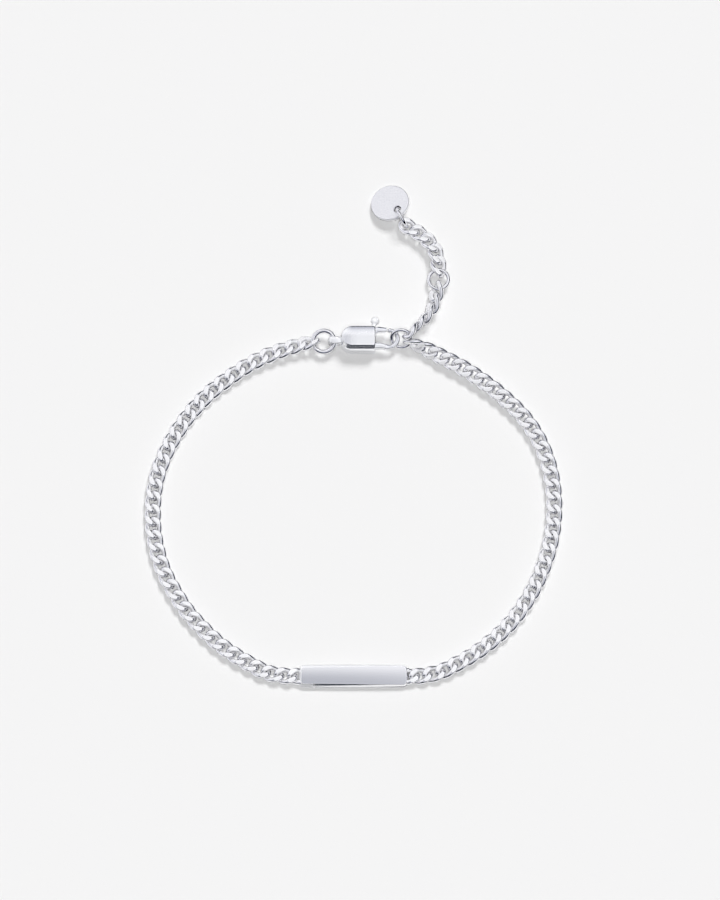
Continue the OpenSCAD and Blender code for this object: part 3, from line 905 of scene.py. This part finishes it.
def leverSurface(v, c):
    # the arm is its section carried along a rising curve, the neck a flat bar, the nub a ball and the hub a round bar
    px, py = c["pivot"]
    z = c["thick"] / 2
    half = c["leverThick"] / 2
    k = np.linspace(0, 1, 30)
    rise = v["armRise"] * np.clip(k * v["armRiseRate"], 0, 1) ** v["armRiseCurve"]
    armY = v["armFrom"][1] + rise - v["armFall"] * k
    arm = np.stack([px + (v["armFrom"][0] + v["armLong"] * k), py + armY, 0 * k + z], -1)
    armWide = (v["armHalf"] - v["armTaper"] * k) * domed(len(k), v["armDome"])[::-1]
    k = np.linspace(0, 1, 14)
    (fromX, fromY), (alongX, alongY) = v["neckFrom"], v["neckAlong"]
    neck = np.stack([px + fromX + alongX * k, py + fromY + alongY * k, 0 * k + z], -1)
    turn = np.linspace(0, tau / 2, 26)
    nubX, nubY = v["nubAt"]
    nub = np.stack([0 * turn + px + nubX, py + nubY - v["nubRadius"] * np.cos(turn), 0 * turn + z], -1)
    ball = np.maximum(v["nubRadius"] * np.sin(turn), 0.004)
    parts = [
        sweep(arm, armWide, half, section=v["armSection"]),
        sweep(neck, v["neckHalf"], half * v["neckShare"], v["neckSquare"], 32),
        sweep(nub, ball, ball, sides=40),
        roundBar((px, py), z - half, z + half, c["hubRadius"], v["hubEdge"], 48)]
    satin = np.concatenate([np.full(len(part[0]), share) for part, share in zip(parts, v["satins"])])
    return joinSurfaces(parts), satin


surface, satin = leverSurface(leverSizes, claspSizes)
makePiece("clasp_lever_arm", surface, silvers["lever_silver"], "lever", ["clasp_lever"], sharp=leverSizes["sharp"],
          masks={"satin": satin})
surface = roundBar(claspSizes["pivot"], 0, pinSizes["top"], pinSizes["wide"] / 2, pinSizes["edge"], 40)
makePiece("hinge_pin", surface, silvers["pin_silver"], "bracelet", ["clasp_pin"],
          sharp=pinSizes["sharp"])
print("lever and pin made")


# Round tag

tagSizes = {
    "at": (5.06, 44.43, 0.83),
    "lean": 17.5,
    "turn": -45,
    "wide": 5.35,
    "thick": 0.5,
    "hole": 1.0,
    "holeOut": 1.6,
    "edge": 0.08,
    # the hole's upper edge: rows of the share of the way out, and how far below the face
    "holeEdge": [(0, 0.05), (0.006, 0.02), (0.02, 0)],
    "faceShares": (0.1, 0.3, 0.6, 0.9),
    "backShares": (0.9, 0.5, 0.02),
    "sharp": 60,
}


def tagSurface(t, count=128):
    # rings from the hole's wall over the face to the outer edge and back under; each is a blend of the hole's circle
    # and the outer circle at the same angle, and both edges are rounded
    u = np.linspace(0, tau, count, endpoint=False)
    circle = np.stack([np.cos(u), np.sin(u)], -1)
    hole, outer = np.array([t["holeOut"], 0]) + circle * t["hole"] / 2, circle * t["wide"] / 2
    e, h = t["edge"], t["thick"]
    bend = np.linspace(0, tau / 4, 6)
    step = e / (t["wide"] / 2)
    blend = lambda k, z: np.column_stack([hole + (outer - hole) * k, np.full(count, z)])
    rings = [blend(0, e), blend(0, h / 2)]
    rings += [blend(k, h - drop) for k, drop in t["holeEdge"]]
    rings += [blend(k, h) for k in t["faceShares"]]
    rings += [np.column_stack([outer * (1 - step * (1 - math.sin(a))), np.full(count, h - e + e * math.cos(a))])
              for a in bend]
    rings += [np.column_stack([outer * (1 - step * (1 - math.cos(a))), np.full(count, e - e * math.sin(a))])
              for a in bend]
    rings += [blend(k, 0.0) for k in t["backShares"]]
    return gridSurface(np.array(rings), flip=True)


def leanTag(surface, t):
    # the tag tipped up about its own width, then turned on the table and moved to its place
    tipped = placed(surface[0], (0, 0, 0), (0, -t["lean"], 0))
    return (placed(tipped, t["at"], (0, 0, t["turn"])),) + surface[1:]


surface = leanTag(tagSurface(tagSizes), tagSizes)
makePiece("round_tag", surface, silvers["tag_silver"], "bracelet", ["tag_disc"], sharp=tagSizes["sharp"])
print("tag made")


# Floor and light

studio = {
    "floor": 12.0,
    "floorTone": (0.801, 0.8, 0.802, 1),
    "backTone": (0.91, 0.91, 0.91, 1),
    "thrownShare": 0.6,
    "crispness": 0.04,
    "suns": {
        "top_light": {"elevation": 75, "azimuth": 180, "spread": 14, "power": 1.71},
        "wide_light": {"elevation": 90, "azimuth": 0, "spread": 130, "power": 0.49},
        "key_light": {"elevation": 52, "azimuth": 22, "spread": 20, "power": 1.83},
    },
    # height of the direction, and its colour: darkEast is the ramp to the east and south, paleWest to the west
    "darkEast": [(0.0, 0.85, 0.85, 0.85), (0.02, 0.30, 0.31, 0.34), (0.05, 0.05, 0.055, 0.07),
                 (0.57, 0.05, 0.055, 0.07), (0.66, 0.38, 0.39, 0.45), (0.77, 0.76, 0.77, 0.80),
                 (0.90, 0.96, 0.96, 0.97), (1.0, 1.0, 1.0, 1.0)],
    "paleWest": [(0.0, 0.90, 0.90, 0.90), (0.06, 0.62, 0.63, 0.68), (0.20, 0.50, 0.51, 0.56),
                 (0.36, 0.80, 0.80, 0.84), (0.68, 1.0, 1.0, 1.0), (1.0, 1.0, 1.0, 1.0)],
    # the way to the pale side, and how near to it the pale ramp starts and is full
    "paleWay": (-0.914, 0.407, 0.0),
    "paleFrom": 0.35,
    "paleTo": 0.85,
    # a soft grey patch a little to the west of straight up, longer from west to east and longer still to the south
    "patchAt": (-0.25, 0.05, 0.0),
    "patchNorth": (0.7, 1.0, 1.0),
    "patchSouth": (0.7, 0.5, 1.0),
    "patchFrom": 0.15,
    "patchTo": 0.53,
    "patchTone": (0.50, 0.51, 0.56, 1),
    "white": (1.06, 1.06, 1.08, 1),
}


def makeFloor(s):
    # one flat square of pale matt paper at height 0
    half = s["floor"] / 2
    mesh = bpy.data.meshes.new("floor")
    mesh.from_pydata([(-half, -half, 0), (half, -half, 0), (half, half, 0), (-half, half, 0)], [], [(0, 1, 2, 3)])
    floor = addObject("floor", mesh)
    material = bpy.data.materials.new("floor_paper")
    material.use_nodes = True
    shader = material.node_tree.nodes["Principled BSDF"]
    for label, value in (("Base Color", s["floorTone"]), ("Roughness", 1), ("Specular IOR Level", 0)):
        shader.inputs[label].default_value = value
    mesh.materials.append(material)


def makeSky(s):
    # a white dome with a grey patch near straight up and a dark low band round its east and south; only the silver
    # reflects it, and three soft suns light the floor
    world = bpy.data.worlds.new("studio")
    bpy.context.scene.world = world
    world.use_nodes = True
    tree = world.node_tree
    tree.nodes.clear()
    coords = node(tree, "ShaderNodeTexCoord", (-1200, 0))
    split = node(tree, "ShaderNodeSeparateXYZ", (-1000, 0), Vector=coords.outputs["Generated"])
    sides = []
    for label, y in (("paleWest", 300), ("darkEast", 0)):
        side = node(tree, "ShaderNodeValToRGB", (-700, y), Fac=split.outputs["Z"])
        while len(side.color_ramp.elements) < len(s[label]):
            side.color_ramp.elements.new(0.5)
        for element, (place, *tone) in zip(side.color_ramp.elements, s[label]):
            element.position = place
            element.color = (*tone, 1)
        sides.append(side.outputs[0])
    # how much of the dark band shows: none near the pale way, all of it elsewhere
    flat = node(tree, "ShaderNodeCombineXYZ", (-900, -400), X=split.outputs["X"], Y=split.outputs["Y"]).outputs[0]
    level = vectors(tree, "NORMALIZE", flat, at=(-720, -350))
    toward = vectors(tree, "DOT_PRODUCT", level, s["paleWay"], (-540, -350))
    share = node(tree, "ShaderNodeMapRange", (-340, -350), interpolation_type="SMOOTHSTEP", Value=toward,
                 From_Min=s["paleFrom"], From_Max=s["paleTo"], To_Min=1.0, To_Max=0.0)
    band = mixColors(tree, share.outputs[0], *sides)
    off = vectors(tree, "SUBTRACT", flat, s["patchAt"], (-720, -650))
    north = vectors(tree, "MULTIPLY", off, s["patchNorth"], (-600, -600))
    south = vectors(tree, "MULTIPLY", off, s["patchSouth"], (-600, -750))
    shape = vectors(tree, "MAXIMUM", north, south, (-540, -650))
    away = vectors(tree, "LENGTH", shape, at=(-480, -650))
    soft = node(tree, "ShaderNodeMapRange", (-340, -650), interpolation_type="SMOOTHSTEP", Value=away,
                From_Min=s["patchFrom"], From_Max=s["patchTo"])
    patch = mixColors(tree, soft.outputs[0], s["patchTone"], s["white"], (-120, -450))
    dome = mixColors(tree, 1, band, patch, (140, -200), blend_type="MULTIPLY")
    # what the silver throws back onto the table is held down to a share of the dome
    ray = node(tree, "ShaderNodeLightPath", (-100, 500))
    thrown = maths(tree, "MINIMUM", ray.outputs["Diffuse Depth"], 1.0, (80, 300))
    held = maths(tree, "MULTIPLY", thrown, 1 - s["thrownShare"], (240, 300))
    strength = maths(tree, "SUBTRACT", 1.0, held, (400, 300))
    shine = node(tree, "ShaderNodeBackground", (420, 100), Color=dome, Strength=strength)
    plain = node(tree, "ShaderNodeBackground", (300, -100), Color=s["backTone"])
    pick = node(tree, "ShaderNodeMixShader", (600, 0), Fac=ray.outputs["Is Camera Ray"])
    feed(tree, pick.inputs[1], shine.outputs[0])
    feed(tree, pick.inputs[2], plain.outputs[0])
    node(tree, "ShaderNodeOutputWorld", (900, 0), Surface=pick.outputs[0])
    world.cycles_visibility.diffuse = False


def makeSun(name, elevation, azimuth, spread, power):
    # a soft light far off, as wide as its spread in degrees; it lights the floor and isn't mirrored
    lift, swing = math.radians(elevation), math.radians(azimuth)
    toward = Vector((math.sin(swing) * math.cos(lift), math.cos(swing) * math.cos(lift), math.sin(lift)))
    data = bpy.data.lights.new(name, "SUN")
    data.angle = math.radians(spread)
    data.energy = power
    sun = addObject(name, data)
    sun.location = toward
    sun.rotation_euler = (-toward).to_track_quat("-Z", "Y").to_euler()
    sun.visible_glossy = False


def makeCrisp(s):
    # the finished picture is made slightly crisper, as a camera does: each point less a share of those round it
    scene = bpy.context.scene
    scene.use_nodes = True
    tree = scene.node_tree
    tree.nodes.clear()
    layer = node(tree, "CompositorNodeRLayers", (-300, 0))
    crisp = node(tree, "CompositorNodeFilter", (0, 0), filter_type="SHARPEN", Fac=s["crispness"],
                 Image=layer.outputs["Image"])
    node(tree, "CompositorNodeComposite", (300, 0), Image=crisp.outputs["Image"])


makeFloor(studio)
makeSky(studio)
makeCrisp(studio)
for name, sun in studio["suns"].items():
    makeSun(name, **sun)
bpy.context.scene.view_settings.view_transform = "Standard"
bpy.context.scene.view_settings.look = "None"
print("studio made")
